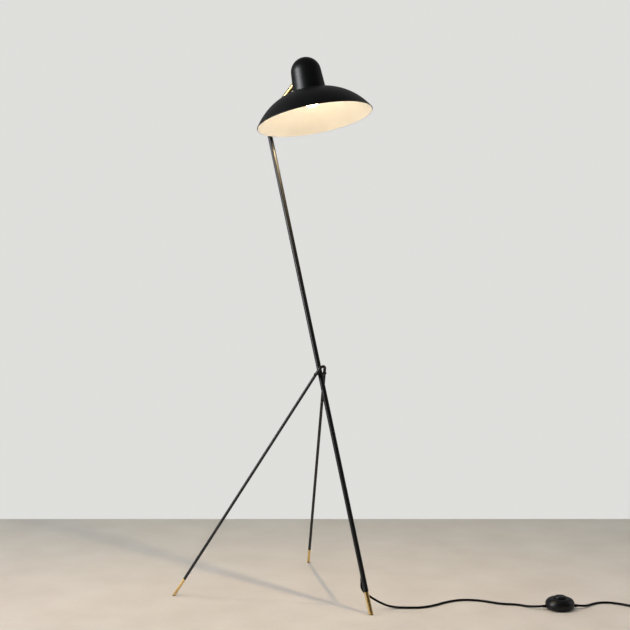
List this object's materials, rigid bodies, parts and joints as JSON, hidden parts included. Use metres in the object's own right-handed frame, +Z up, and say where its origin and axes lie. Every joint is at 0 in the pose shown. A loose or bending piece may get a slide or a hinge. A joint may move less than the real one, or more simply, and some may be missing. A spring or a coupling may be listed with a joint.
{
  "type": "tripod floor lamp",
  "caption": "Tripod floor lamp: leaning black pole propped by a bent V-shaped rod, brass feet and arm, wide spun shade with a domed holder cover, cord with a foot switch.",
  "frame": {"origin": "on the floor, below the middle of the lamp's box measured without the cord and the foot switch", "axes": "+Z up; +X towards the front foot; the lamp's plane of symmetry is y = 0; the cord leads off towards +Y"},
  "size_m": [1.0174, 0.9858, 1.4533],
  "materials": {
    "black_paint": "satin",
    "white_enamel": "satin",
    "brass": "polished",
    "steel": "zinc plated",
    "black_plastic": "fine moulded texture",
    "black_rubber": "smooth",
    "nylon": "moulded",
    "porcelain": "glazed",
    "opal_glass": "opal, lit warm white",
    "cap_metal": "bright nickel",
    "light_filament": "glass stem and lit filaments",
    "wire_insulation": "smooth"
  },
  "bodies": {
    "stand": {"front_ferrule": "brass", "foot_pad_front": "black_rubber", "rear_ferrule_left": "brass", "rear_ferrule_right": "brass", "foot_pads_rear": "black_rubber", "lower_pole": "black_paint", "upper_pole": "black_paint", "pole_coupler": "steel", "v_leg_rod": "black_paint", "hub_spacers": "black_paint", "hub_screws": "black_paint", "cord_gland": "black_rubber", "inner_cord": "black_rubber", "swivel_spigot": "brass", "swivel_washer": "nylon", "switch_base": "black_plastic", "switch_cover": "black_plastic", "switch_screws": "steel", "switch_foot_ring": "black_rubber", "switch_contacts": "nylon", "button_spring": "steel", "switch_reliefs": "black_rubber", "cord_lamp_side": "black_rubber", "cord_plug_side": "black_rubber", "cord_coil": "black_rubber", "cord_tail": "black_rubber", "coil_tie": "black_rubber", "plug_body": "black_plastic", "plug_pins": "cap_metal", "plug_relief": "black_rubber"},
    "swivel": {"swivel_fork": "brass", "swivel_grub": "steel", "tilt_screw": "brass", "tilt_nut": "brass"},
    "head": {"tilt_tongue": "brass", "friction_washers": "nylon", "arm_tube": "brass", "dome_adapter": "brass", "adapter_spacer": "steel", "adapter_nut": "steel", "dome": "black_paint", "shade_dish": "black_paint", "shade_ring": "black_paint", "shade_screws": "steel", "socket_bracket": "white_enamel", "socket_body": "porcelain", "socket_shell": "brass", "socket_contact": "brass", "socket_nut": "steel", "bulb_glass": "opal_glass", "bulb_cap": "cap_metal", "bulb_contact": "cap_metal", "bulb_lamp_post": "light_filament", "head_wires": "wire_insulation"},
    "button": {"switch_button": "black_plastic"}
  },
  "joints": [
    {"name": "head_pan", "type": "hinge", "parent": "stand", "child": "swivel", "pos_m": [-0.14901, 0, 1.29223], "axis": [-0.294, 0, 0.9558], "range_deg": [-140, 140]},
    {"name": "head_tilt", "type": "hinge", "parent": "swivel", "child": "head", "pos_m": [-0.14901, 0, 1.29223], "axis": [0, -1, 0], "range_deg": [-15, 50]},
    {"name": "foot_button", "type": "slide", "parent": "stand", "child": "button", "axis": [0, 0, -1], "range_m": [0, 0.003], "stiffness_N_per_m": 500, "springref_m": -0.002, "deforming": ["button_spring"]}
  ]
}
